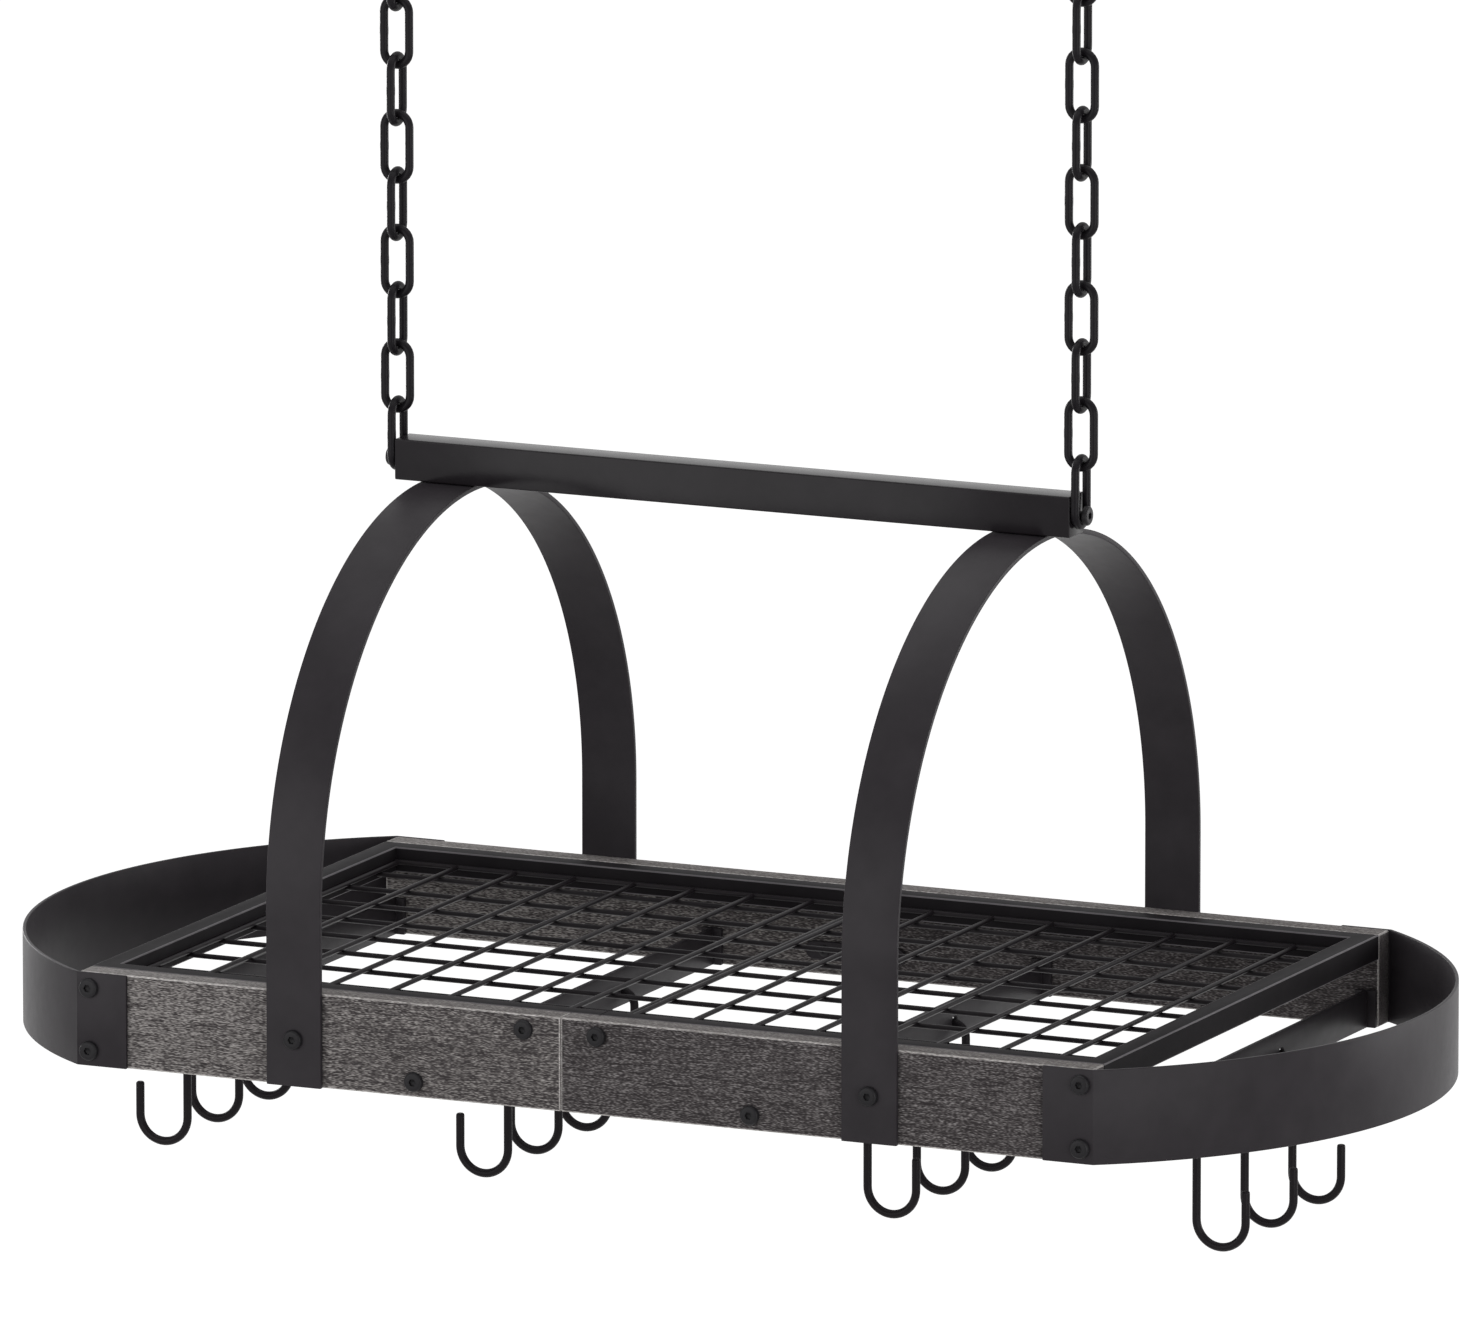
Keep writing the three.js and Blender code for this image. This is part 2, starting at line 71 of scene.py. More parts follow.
# top bar
BAR_LENGTH, BAR_DEPTH, BAR_HEIGHT = 428, 20, 24
BAR_Z = LAST_LINK_Z - LINK_CROWN + LINK_WIRE / 2 + GAP + CHAIN_BOLT_RADIUS
BAR_UNDER_Z = BAR_Z - BAR_HEIGHT / 2
CHAIN_X = BAR_LENGTH / 2 + GAP + LINK_WIRE / 2
# arches and boards
ARCH_X, ARCH_WIDTH, ARCH_THICKNESS, ARCH_RISE = 181.4, 34.5, 3, 261.6
BOARD_HEIGHT, BOARD_THICKNESS, BOARD_OUTER_Y, BOARD_END_X = 55, 15, 210.7, 319.5
BOARD_TOP_Z = BAR_UNDER_Z - ARCH_RISE
BOARD_INNER_Y = BOARD_OUTER_Y - BOARD_THICKNESS
BOARD_UNDER_Z = BOARD_TOP_Z - BOARD_HEIGHT
BOARD_MID_Z = BOARD_TOP_Z - BOARD_HEIGHT / 2
SEAM_X = -13.5
# end bands
BAND_THICKNESS, BAND_TAB, BAND_REACH, CREASE_X = 2, 31, 111, 320
BAND_OUTER_Y = BOARD_OUTER_Y + GAP + BAND_THICKNESS
# trays
RAIL_WIDTH, RAIL_HEIGHT = 13, 15
RAIL_OUTER_Y = BOARD_INNER_Y - GAP
RAIL_INNER_Y = RAIL_OUTER_Y - RAIL_WIDTH
RAIL_INNER_X = BOARD_END_X - RAIL_WIDTH
TRAY_SEAM_X, MESH_WIRE, MESH_DROP, MESH_WIRES = 3.9, 3, 7, 8
MESH_STEP_X, MESH_STEP_Y, MESH_WELD = 38.5, 42.1, 0.2
# splice plates behind the boards' seams
SPLICE_HALF, SPLICE_RADIUS, SPLICE_THICKNESS, SPLICE_SCREW_X = 32, 5.5, 2, 20
SPLICE_Z = BOARD_UNDER_Z + 14.5
# crossbars and pot hooks
CROSSBAR_X = (-312.5, -106, 106, 312.5)
CROSSBAR_THICKNESS, CROSSBAR_HEIGHT, END_PLATE_WIDTH, END_PLATE_THICKNESS = 2.6, 22, 13, 3
HOOK_STEP_Y, HOOK_WIRE, HOOK_LOOP, HOOK_LOOP_END = 68.4, 5, 8.35, 8
HOOK_BOWL, HOOK_DROP, HOOK_TIP = 15.3, 83.8, 36.7
HOOK_CROWN_Z = BOARD_UNDER_Z + 8.5
HOOK_HOLE_RADIUS = 3.6
HOOK_HOLE_Z = HOOK_CROWN_Z - HOOK_WIRE / 2 - GAP - 0.1 + HOOK_HOLE_RADIUS
# bolts, and how far their tips go into or past what they hold
HEAD_RADIUS, HEAD_HEIGHT, SOCKET_RADIUS, BOLT_RADIUS = 5.8, 3, 2, 2.5
UPPER_BOLT_Z, LOWER_BOLT_Z = BOARD_TOP_Z - 9, BOARD_UNDER_Z + 9
SEAM_BOLT_OFFSET = 23
INTO_BAR_END, INTO_BAR, INTO_BOARD = 12, 9, 11
PAST_RAIL_WALL, PAST_BOARD, PAST_END_PLATE = 2.5, 3, 1.5

# ---- roundings, finer than the solids' ----
BAR_CORNER, ARCH_CORNER, BAND_CORNER, RAIL_CORNER = 0.9, 0.55, 0.5, 0.8
BOARD_EDGE, CROSSBAR_EDGE, END_PLATE_EDGE, HOLE_EDGE, SPLICE_EDGE = 0.9, 0.4, 0.5, 0.4, 0.35
SINK_RADIUS, SINK_DEPTH = 3.9, 1.4
# how a cut end is eased: rings this much further on, and this much smaller
BAR_CUT = ((0.25, 0.985), (0.4, 0.96))
ARCH_CUT = ((0.25, 0.995), (0.4, 0.988))
BAND_CUT = ((0.25, 0.995), (0.4, 0.99))
RAIL_CUT = ((0.3, 0.97),)
RING_CUT = ((0.9, 0.93), (1.6, 0.75), (2.0, 0.45))
HOOK_CUT = ((0.8, 0.97), (1.3, 0.86), (1.6, 0.68))


# ---- finishes ----
def linear(code):
    """An sRGB hex colour as linear red, green, blue and alpha."""
    parts = [int(code[i : i + 2], 16) / 255 for i in (1, 3, 5)]
    return [c / 12.92 if c <= 0.04045 else ((c + 0.055) / 1.055) ** 2.4 for c in parts] + [1]


def add(tree, kind, settings=(), links=()):
    """Adds a shader node, sets its sockets or properties, and links other nodes' outputs to it."""
    made = tree.nodes.new("ShaderNode" + kind)
    for key, value in dict(settings).items():
        if key == "stops":
            ramp = made.color_ramp
            while len(ramp.elements) < len(value):
                ramp.elements.new(0.5)
            for element, (place, colour) in zip(ramp.elements, value):
                element.position = place
                element.color = colour
        elif isinstance(key, str) and hasattr(made, key):
            setattr(made, key, value)
        else:
            made.inputs[key].default_value = value
    for key, source in dict(links).items():
        tree.links.new(source, made.inputs[key])
    return made


def finish(name):
    """A new material: its node tree, its shader, and the part's own coordinates in millimetres."""
    made = bpy.data.materials.new(name)
    made.use_nodes = True
    tree = made.node_tree
    shader = tree.nodes["Principled BSDF"]
    here = add(tree, "TexCoord").outputs["Object"]
    place = add(tree, "VectorMath", {"operation": "SCALE", "Scale": 1 / MM}, {0: here}).outputs[0]
    return made, tree, shader, place


CLOUD_MM, HAZE_MM = 38, 9  # how wide the clouds of colour and of gloss are


def black_skin(name, dark, light, roughness, gloss, peel_mm, peel_high_mm=0.06):
    """A black finish on mild steel, its colour and gloss a little clouded, with faint orange peel.

    A real peel is about 0.01 mm high: on broad faces it is drawn as coarse as it needs to show.
    """
    made, tree, shader, place = finish(name)
    clouds = {"Scale": 1 / CLOUD_MM, "Detail": 3, "Roughness": 0.6}
    cloud = add(tree, "TexNoise", clouds, {"Vector": place})
    stops = ((0.35, linear(dark)), (0.68, linear(light)))
    tint = add(tree, "ValToRGB", {"stops": stops}, {0: cloud.outputs[0]})
    tree.links.new(tint.outputs[0], shader.inputs["Base Color"])
    hazes = {"Scale": 1 / HAZE_MM, "Detail": 4, "Roughness": 0.65}
    haze = add(tree, "TexNoise", hazes, {"Vector": place})
    spread = {"To Min": roughness - 0.05, "To Max": roughness + 0.06}
    rough = add(tree, "MapRange", spread, {0: haze.outputs[0]})
    tree.links.new(rough.outputs[0], shader.inputs["Roughness"])
    peels = {"Scale": 1 / peel_mm, "Detail": 2, "Roughness": 0.5}
    peel = add(tree, "TexNoise", peels, {"Vector": place})
    relief = {"Strength": 0.35, "Distance": peel_high_mm * MM}
    bump = add(tree, "Bump", relief, {"Height": peel.outputs[0]})
    tree.links.new(bump.outputs[0], shader.inputs["Normal"])
    shader.inputs["Specular IOR Level"].default_value = gloss
    return made


# baked satin powder on the straps: an even dark grey that shades softly round the bends
STEEL = black_skin("satin black powder-coated steel", "#282528", "#2f2c2f", 0.42, 0.1, 0.9)
# the thicker powder on the bar has flowed out, so the bar takes a blurred sheen along its length
BAR = black_skin("semi-gloss black powder-coated bar", "#1a171a", "#211e21", 0.2, 0.12, 1.4)
# painted shade: the rails are drawn darker than the straps, for the shade inside the trays; matt powder
# also keeps their tops dark, though they are seen at a low angle
PAINTED_SHADE_TUBE = black_skin("matt black tube with painted shade", "#181618", "#1e1c1e", 0.6, 0.04, 0.9)
# painted highlight: the tubes' rounded corners are drawn paler, as light catching the rails' edges
TUBE_HIGHLIGHT = black_skin("painted highlight on a tube's corner", "#565356", "#646164", 0.45, 0.1, 0.9)
# dipped enamel on the links and powder on the wires are smooth, with a fine line of light along them
CHAIN = black_skin("semi-gloss black enamelled chain", "#171518", "#1d1b1e", 0.33, 0.07, 1.2, 0.003)
WIRE = black_skin("black powder-coated wire", "#1d1a1d", "#232022", 0.34, 0.06, 0.8, 0.003)
# black oxide is thin and dry, so the heads stay crisp and a little darker than the straps
BOLT = black_skin("black oxide screw steel", "#1b1a1c", "#222123", 0.42, 0.12, 0.7)

# Each knot: how far along the rack, how far below the boards' top, and half its length and height.
KNOTS = ((-118, 32, 2.6, 1.3), (227.5, 37, 2.8, 1.4), (-241.6, 49, 3.2, 1.5))
KNOT_EDGE, BEND_REACH, BEND = 1.6, 5, 0.55  # in half knots: its soft edge, and how the grain bends
WAVE_LONG, WAVE_HIGH = 45, 2.2  # the grain's slow waves
OTHER_TIMBER = (170, 31, 57)  # from one board's place in the grain to the next one's
# The brushed pores. Real ones are about 0.1 mm deep: they are drawn as deep as they need to show.
PORE_LONG, PORE_HIGH, PORE_DEPTH = 2.1, 0.32, 0.15
# Longer marks: how long and how high they are, and their share of the tone.
BRUSH_STROKES, STAIN_PATCHES = (17, 0.5, 0.4), (110, 9, 0.1)
RING_LONG, RING_HIGH = 13, 0.7  # the growth rings that come to the surface
FIRST_SHADE, SHADE_STEP = 0.28, 0.105  # where the five shades lie on the tone


def knots_and_grain(tree, place, seed):
    """How much of a knot is at each point, and the grain's coordinates, which bend round the knots."""
    apart = add(tree, "SeparateXYZ", (), {0: place})
    along, across, upright = apart.outputs["X"], apart.outputs["Y"], apart.outputs["Z"]
    wave = add(tree, "TexNoise", {"Scale": 1 / WAVE_LONG, "Detail": 2}, {"Vector": place})
    lift = add(tree, "MapRange", {"To Min": -WAVE_HIGH, "To Max": WAVE_HIGH}, {0: wave.outputs[0]})
    height = add(tree, "Math", {"operation": "ADD"}, {0: upright, 1: lift.outputs[0]})
    smooth = {"interpolation_type": "SMOOTHSTEP", "To Max": 0}
    knots = None
    for knot_x, knot_drop, half_long, half_high in KNOTS:
        knot_z = BOARD_TOP_Z - knot_drop
        from_x = add(tree, "Math", {"operation": "SUBTRACT", 1: knot_x}, {0: along})
        from_z = add(tree, "Math", {"operation": "SUBTRACT", 1: knot_z}, {0: upright})
        far_x = add(tree, "Math", {"operation": "DIVIDE", 1: half_long}, {0: from_x.outputs[0]})
        far_z = add(tree, "Math", {"operation": "DIVIDE", 1: half_high}, {0: from_z.outputs[0]})
        offset = add(tree, "CombineXYZ", (), {"X": far_x.outputs[0], "Y": far_z.outputs[0]})
        length = add(tree, "VectorMath", {"operation": "LENGTH"}, {0: offset.outputs[0]})
        away = length.outputs["Value"]
        heart = add(tree, "MapRange", {**smooth, "From Max": KNOT_EDGE, "To Min": 1}, {0: away})
        if knots:
            both = {0: knots.outputs[0], 1: heart.outputs[0]}
            heart = add(tree, "Math", {"operation": "MAXIMUM"}, both)
        knots = heart
        bend = add(tree, "MapRange", {**smooth, "From Max": BEND_REACH, "To Min": BEND}, {0: away})
        moved = {0: bend.outputs[0], 1: from_z.outputs[0]}
        aside = add(tree, "Math", {"operation": "MULTIPLY"}, moved)
        bent = {0: height.outputs[0], 1: aside.outputs[0]}
        height = add(tree, "Math", {"operation": "SUBTRACT"}, bent)
    grain = add(tree, "CombineXYZ", (), {"X": along, "Y": across, "Z": height.outputs[0]})
    shift = {"operation": "ADD", 1: [seed * step for step in OTHER_TIMBER]}
    grain = add(tree, "VectorMath", shift, {0: grain.outputs[0]})
    return along, knots.outputs[0], grain.outputs[0]


def weathered_wood(name, shades, seed):
    """Grey-stained, wire-brushed softwood: fine dark pores and pale raised fibres along the board."""
    made, tree, shader, place = finish(name)
    along, knots, grain = knots_and_grain(tree, place, seed)

    def streaks(length_mm, height_mm, detail):
        """Noise drawn out along the board, with streaks of about this size."""
        size = {"operation": "DIVIDE", 1: (length_mm, height_mm, height_mm)}
        drawn = add(tree, "VectorMath", size, {0: grain})
        noise = add(tree, "TexNoise", {"Scale": 1.0, "Detail": detail}, {"Vector": drawn.outputs[0]})
        return noise.outputs[0]

    # the pores and fibres that the brushing opened
    fine = streaks(PORE_LONG, PORE_HIGH, 0)
    marks = []
    # the brush leaves longer strokes, and the stain takes unevenly
    for length_mm, height_mm, share in (BRUSH_STROKES, STAIN_PATCHES):
        spread = {"To Min": -share / 2, "To Max": share / 2}
        marks.append(add(tree, "MapRange", spread, {0: streaks(length_mm, height_mm, 2)}))
    # a few growth rings come to the surface as short dark lines
    dark_line = {"From Min": 0.66, "From Max": 0.74, "To Min": 0, "To Max": -0.28}
    marks.append(add(tree, "MapRange", dark_line, {0: streaks(RING_LONG, RING_HIGH, 0)}))
    # painted light: the wood is drawn paler towards the left end
    painted_light_to_left = {"From Min": -BOARD_END_X, "From Max": -100, "To Min": 0.045, "To Max": -0.075}
    marks.append(add(tree, "MapRange", painted_light_to_left, {0: along}))
    tone = fine
    for mark in marks:
        tone = add(tree, "Math", {"operation": "ADD"}, {0: tone, 1: mark.outputs[0]}).outputs[0]
    stops = [(FIRST_SHADE + SHADE_STEP * i, linear(shade)) for i, shade in enumerate(shades)]
    ground = add(tree, "ValToRGB", {"stops": stops}, {0: tone})
    # a knot takes the stain almost black
    cover = add(tree, "Math", {"operation": "MULTIPLY", 1: 0.75}, {0: knots})
    knotted = {0: cover.outputs[0], 6: ground.outputs[0]}
    colour = add(tree, "Mix", {"data_type": "RGBA", 7: linear("#2c2929")}, knotted)
    tree.links.new(colour.outputs[2], shader.inputs["Base Color"])
    bump = add(tree, "Bump", {"Strength": 0.6, "Distance": PORE_DEPTH * MM}, {"Height": fine})
    tree.links.new(bump.outputs[0], shader.inputs["Normal"])
    rough = add(tree, "MapRange", {"To Min": 0.7, "To Max": 0.9}, {0: fine})
    tree.links.new(rough.outputs[0], shader.inputs["Roughness"])
    shader.inputs["Specular IOR Level"].default_value = 0.2
    return made


LEFT_SHADES = ("#322e2f", "#4a4646", "#635f5e", "#7c7876", "#9f9b99")
RIGHT_SHADES = ("#282425", "#3c3839", "#514d4d", "#6b6767", "#8d8989")
PALE_EDGE_SHADES = ("#7f7b79", "#9b9795", "#b4b0ae", "#c8c4c2", "#d8d4d2")
TOP_LIGHT_SHADES = ("#4a4645", "#625e5d", "#787472", "#8d8987", "#a4a09e")
# the left boards took less stain than the right ones
WOOD = {
    "left": weathered_wood("grey weathered board, lighter", LEFT_SHADES, 1),
    "right": weathered_wood("grey weathered board, darker", RIGHT_SHADES, 2),
}
# painted light: the boards' tops are drawn paler than the brushed faces, as lit from above, and calmer
TOP_LIT_WOOD = weathered_wood("grey weathered board, top with painted light", TOP_LIGHT_SHADES, 4)
# the boards' rounded edges are drawn as a pale line
PALE_EDGE_WOOD = weathered_wood("grey weathered board, pale edge", PALE_EDGE_SHADES, 3)

# Where each finish stands among a piece's materials; its own comes first.
BOLT_SLOT, TUBE_HIGHLIGHT_SLOT = 1, 2
PALE_EDGE_SLOT, TOP_LIGHT_SLOT = 1, 2


# ---- shapes ----
def circle(radius, sides):
    """A round section; the first number runs across a line, the second along the plane's normal."""
    turns = [(k + 0.5) * 2 * math.pi / sides for k in range(sides)]
    return [(radius * math.cos(t), radius * math.sin(t)) for t in turns]


def rounded(width, height, radius, steps=3):
    """A rectangular section with rounded corners."""
    points = []
    for corner, (right, up) in enumerate(((1, 1), (-1, 1), (-1, -1), (1, -1))):
        for k in range(steps + 1):
            turn = (corner + k / steps) * math.pi / 2
            a = right * (width / 2 - radius) + radius * math.cos(turn)
            b = up * (height / 2 - radius) + radius * math.sin(turn)
            points.append((a, b))
    return points


def arc(centre, u, v, radius, start, end, steps):
    """Points on an arc in the plane of u and v, angles in degrees."""
    turns = [math.radians(start + (end - start) * k / steps) for k in range(steps + 1)]
    return [centre + radius * (u * math.cos(t) + v * math.sin(t)) for t in turns]


def reach_of(cut):
    """How far the eased end goes past the last full ring."""
    return cut[-1][0]


def skin(bm, rings, closed=False):
    """Joins each ring of points to the next with four-sided faces, and caps the two ends last."""
    following = rings[1:] + rings[:1] if closed else rings[1:]
    made = []
    for here, there in zip(rings, following):
        for k in range(len(here)):
            j = (k + 1) % len(here)
            made.append(bm.faces.new((here[k], here[j], there[j], there[k])))
    if not closed:
        made += [bm.faces.new(rings[0][::-1]), bm.faces.new(rings[-1])]
    return made


def sweep(bm, line, section, normal, closed=False, cut=()):
    """Draws a section along a flat line whose plane has this normal, with its cut ends eased."""
    rings = []

    def ring(point, along, stretch=1.0, size=1.0):
        side = normal.cross(along) * stretch
        points = [point + (side * a + normal * b) * size for a, b in section]
        rings.append([bm.verts.new(p * MM) for p in points])

    for i, point in enumerate(line):
        before = line[i - 1] if closed or i else None
        after = line[(i + 1) % len(line)] if closed or i < len(line) - 1 else None
        coming = (point - before).normalized() if before is not None else None
        going = (after - point).normalized() if after is not None else None
        if coming is None:
            for further, smaller in reversed(cut):
                ring(point - going * further, going, 1, smaller)
            ring(point, going)
        elif going is None:
            ring(point, coming)
            for further, smaller in cut:
                ring(point + coming * further, coming, 1, smaller)
        else:
            along = (coming + going).normalized()
            ring(point, along, 1 / along.dot(going))
    return skin(bm, rings, closed)


def turned(bm, profile, place, sides=24, hexagon_from=None, slot=0):
    """A lathe-turned piece from (radius, height) along +Z, moved by place.

    From the ring hexagon_from on, it is hexagonal instead of round.
    """
    rings = []
    for i, (radius, height) in enumerate(profile):
        ring = []
        for k in range(sides):
            turn = k * 2 * math.pi / sides
            reach = radius
            if hexagon_from is not None and i >= hexagon_from:
                reach *= math.cos(math.pi / 6) / math.cos((turn % (math.pi / 3)) - math.pi / 6)
            point = Vector((reach * math.cos(turn), reach * math.sin(turn), height))
            ring.append(bm.verts.new((place @ point) * MM))
        rings.append(ring)
    for face in skin(bm, rings):
        face.material_index = slot


def block(bm, low, high, edge, edge_slot=0):
    """A square-cornered block with its edges rounded off."""
    middle = (Vector(low) + Vector(high)) / 2 * MM
    size = (Vector(high) - Vector(low)) * MM
    place = Matrix.Translation(middle) @ Matrix.Diagonal((*size, 1))
    made = bmesh.ops.create_cube(bm, size=1, matrix=place)
    edges = list(dict.fromkeys(e for v in made["verts"] for e in v.link_edges))
    radius = edge * MM
    cut = bmesh.ops.bevel(bm, geom=edges, offset=radius, segments=2, profile=0.5, affect="EDGES")
    for face in cut["faces"]:
        face.material_index = edge_slot


def turn_to(direction, point):
    """Moves a piece turned about +Z so that it stands along direction from point."""
    return Matrix.Translation(Vector(point)) @ Z.rotation_difference(direction).to_matrix().to_4x4()


def button_bolt(bm, face_point, outward, shank, slot=BOLT_SLOT):
    """A button-head bolt with a hexagonal socket; face_point lies under the head."""
    r, h, s = HEAD_RADIUS, HEAD_HEIGHT, SOCKET_RADIUS
    shaft = [(BOLT_RADIUS, -shank), (BOLT_RADIUS, 0)]
    # the eased rim, the dome, and the flat round the socket
    dome = [(r - 0.15, 0), (r, 0.15), (r, h * 0.3)]
    for t in (math.radians(k) for k in (12, 24, 36, 48)):
        dome.append((r * math.cos(t) ** 0.5, h * (0.3 + 0.7 * math.sin(t * 1.5))))
    dome.append((r * 0.62, h))
    # the socket's chamfered mouth, its walls and its drilled bottom
    socket = [(s * 1.22, h), (s * 1.14, h - 0.12), (s * 1.12, h * 0.3), (s * 0.3, h * 0.12)]
    hexagon_from = len(shaft + dome)
    place = turn_to(outward, face_point)
    turned(bm, shaft + dome + socket, place, hexagon_from=hexagon_from, slot=slot)


SHARP_FROM = math.radians(34)  # where two faces meet at more than this, the edge stays sharp


def show(name, bm, materials, replaces=None):
    """Makes the mesh a piece that stands for its solid and rides on that solid's body."""
    node = replaces or name
    bmesh.ops.recalc_face_normals(bm, faces=bm.faces)
    mesh = bpy.data.meshes.new(name)
    bm.to_mesh(mesh)
    bm.free()
    mesh.polygons.foreach_set("use_smooth", [True] * len(mesh.polygons))
    mesh.set_sharp_from_angle(angle=SHARP_FROM)
    for material in materials:
        mesh.materials.append(material)
    piece = bpy.data.objects.new("shown_" + name, mesh)
    bpy.context.scene.collection.objects.link(piece)
    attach(piece, BODY_OF[node])
    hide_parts(node)
    return piece


CUTTER_REACH = 1  # how far a cutter goes past the faces that it opens


def cut_out(piece, shapes):
    """Cuts the closed shapes out of a piece."""
    bmesh.ops.recalc_face_normals(shapes, faces=shapes.faces)
    mesh = bpy.data.meshes.new("cutter")
    shapes.to_mesh(mesh)
    shapes.free()
    cutter = bpy.data.objects.new("cutter", mesh)
    bpy.context.scene.collection.objects.link(cutter)
    carve = piece.modifiers.new("holes", "BOOLEAN")
    carve.operation = "DIFFERENCE"
    carve.solver = "EXACT"
    carve.object = cutter
    bpy.context.view_layer.update()
    carved = piece.evaluated_get(bpy.context.evaluated_depsgraph_get())
    cut = bpy.data.meshes.new_from_object(carved)
    piece.modifiers.clear()
    piece.data = cut
    cut.set_sharp_from_angle(angle=SHARP_FROM)
    bpy.data.objects.remove(cutter)


# ---- ceiling hooks ----
def ceiling_hook(side, sign):
    """A round flange with three countersunk screw holes, a short neck, and an open ring under it."""
    x = sign * CHAIN_X
    r, under = FLANGE_RADIUS, -FLANGE_THICKNESS
    flange = [(r, 0), (r, under + 0.8), (r - 0.25, under + 0.25), (r - 0.8, under)]
    flange += [(radius, under - depth) for radius, depth in NECK_CONE]
    flange.append((RING_WIRE / 2, under - RING_NECK))
    bm = bmesh.new()
    turned(bm, flange, Matrix.Translation((x, 0, 0)), sides=48)
    piece = show(f"ceiling_hook_{side}", bm, [STEEL])
    sink = [(SINK_RADIUS, under - 0.1), (SINK_RADIUS, under - CUTTER_REACH)]
    screw_hole = [(SCREW_HOLE, CUTTER_REACH), (SCREW_HOLE, under + SINK_DEPTH)] + sink
    holes = bmesh.new()
    for k in range(3):
        turn = k * 2 * math.pi / 3 + math.pi / 2
        out = Vector((math.cos(turn), math.sin(turn), 0)) * SCREW_CIRCLE
        turned(holes, screw_hole, Matrix.Translation(X * x + out), sides=20)
    cut_out(piece, holes)
    ring = bmesh.new()
    centre = Vector((x, 0, RING_BOTTOM_Z + RING_RADIUS))
    line = arc(centre, X, Z, RING_RADIUS, 90, 90 + 360 - RING_MOUTH, 44)
    sweep(ring, line, circle(RING_WIRE / 2, 20), -Y, cut=RING_CUT)
    show(f"ceiling_hook_{side}_ring", ring, [STEEL], f"ceiling_hook_{side}")


# ---- chains ----
WELD_HALF, WELD_STEP, WELD_PROUD = 2, 1.6, 1.045


def chain_link(node, x, z, edge_on):
    """A closed link; every other one is turned edge on, and its weld stands a little proud."""
    radius = (LINK_WIDTH - LINK_WIRE) / 2
    straight = LINK_CROWN - radius
    across, normal = (Y, X) if edge_on else (X, -Y)
    centre = Vector((x, 0, z))
    line = arc(centre + Z * straight, across, Z, radius, 0, 180, 14)
    line += [centre - across * radius + Z * k * WELD_STEP for k in (2, 1, 0, -1, -2)]
    line += arc(centre - Z * straight, across, Z, radius, 180, 360, 14)
    bm = bmesh.new()
    sweep(bm, line, circle(LINK_WIRE / 2, 16), normal, closed=True)
    for vert in bm.verts:
        off = vert.co / MM - centre
        if off.dot(across) < 0 and abs(off.z) < WELD_HALF:
            middle = centre - across * radius + Z * off.z
            vert.co = (middle + (vert.co / MM - middle) * WELD_PROUD) * MM
    show(node, bm, [CHAIN])


# ---- top bar ----
def top_bar():
    """The solid bar between the chains."""
    half = BAR_LENGTH / 2 - reach_of(BAR_CUT)
    line = [Vector((-half, 0, BAR_Z)), Vector((half, 0, BAR_Z))]
    bm = bmesh.new()
    sweep(bm, line, rounded(BAR_DEPTH, BAR_HEIGHT, BAR_CORNER, 5), Z, cut=BAR_CUT)
    show("top_bar", bm, [BAR])


def chain_bolt(side, sign):
    """The bolt in the bar's end that the last link hangs the rack by."""
    under_head = (sign * (BAR_LENGTH / 2 + LINK_WIRE + 2 * GAP), 0, BAR_Z)
    bm = bmesh.new()
    button_bolt(bm, under_head, X * sign, LINK_WIRE + INTO_BAR_END, slot=0)
    show(f"chain_bolt_{side}", bm, [BOLT])


# ---- arches ----
LEG_RUN_IN = 20  # the last straight stretch of a leg, below the bend


def arch(side, sign):
    """A half round of flat strap with straight legs, bolted to both boards and under the bar."""
    x = sign * ARCH_X
    leg_y = BOARD_OUTER_Y + GAP + ARCH_THICKNESS / 2
    spring_z = BAR_UNDER_Z - GAP - ARCH_THICKNESS / 2 - leg_y
    foot_z = BOARD_UNDER_Z + reach_of(ARCH_CUT)
    leg = [Vector((x, leg_y, z)) for z in (foot_z, BOARD_MID_Z, spring_z - LEG_RUN_IN)]
    bend = arc(Vector((x, 0, spring_z)), Y, Z, leg_y, 0, 180, 120)
    front_leg = [Vector((p.x, -p.y, p.z)) for p in reversed(leg)]
    section = rounded(ARCH_THICKNESS, ARCH_WIDTH, ARCH_CORNER)
    bm = bmesh.new()
    sweep(bm, leg + bend + front_leg, section, X, cut=ARCH_CUT)
    for _, facing in FACES:
        outer = (x, facing * (BOARD_OUTER_Y + GAP + ARCH_THICKNESS), BOARD_MID_Z)
        button_bolt(bm, outer, Y * facing, ARCH_THICKNESS + INTO_BOARD)
    show(f"arch_{side}", bm, [STEEL, BOLT])
    bolt = bmesh.new()
    under_crown = (x, 0, BAR_UNDER_Z - ARCH_THICKNESS - 2 * GAP)
    button_bolt(bolt, under_crown, -Z, ARCH_THICKNESS + INTO_BAR, slot=0)
    show(f"arch_bolt_{side}", bolt, [BOLT])


# ---- boards ----
def board(face_name, facing, side, x0, x1):
    """A board with pale rounded edges, and its top drawn paler as painted light from above."""
    y0, y1 = sorted((facing * BOARD_INNER_Y, facing * BOARD_OUTER_Y))
    bm = bmesh.new()
    block(bm, (x0, y0, BOARD_UNDER_Z), (x1, y1, BOARD_TOP_Z), BOARD_EDGE, PALE_EDGE_SLOT)
    # the top faces take the paler wood, painted light from above
    just_below_top = (BOARD_TOP_Z - 0.01) * MM
    for plane in bm.faces:
        if all(vert.co.z > just_below_top for vert in plane.verts):
            plane.material_index = TOP_LIGHT_SLOT
    show(f"board_{face_name}_{side}", bm, [WOOD[side], PALE_EDGE_WOOD, TOP_LIT_WOOD])


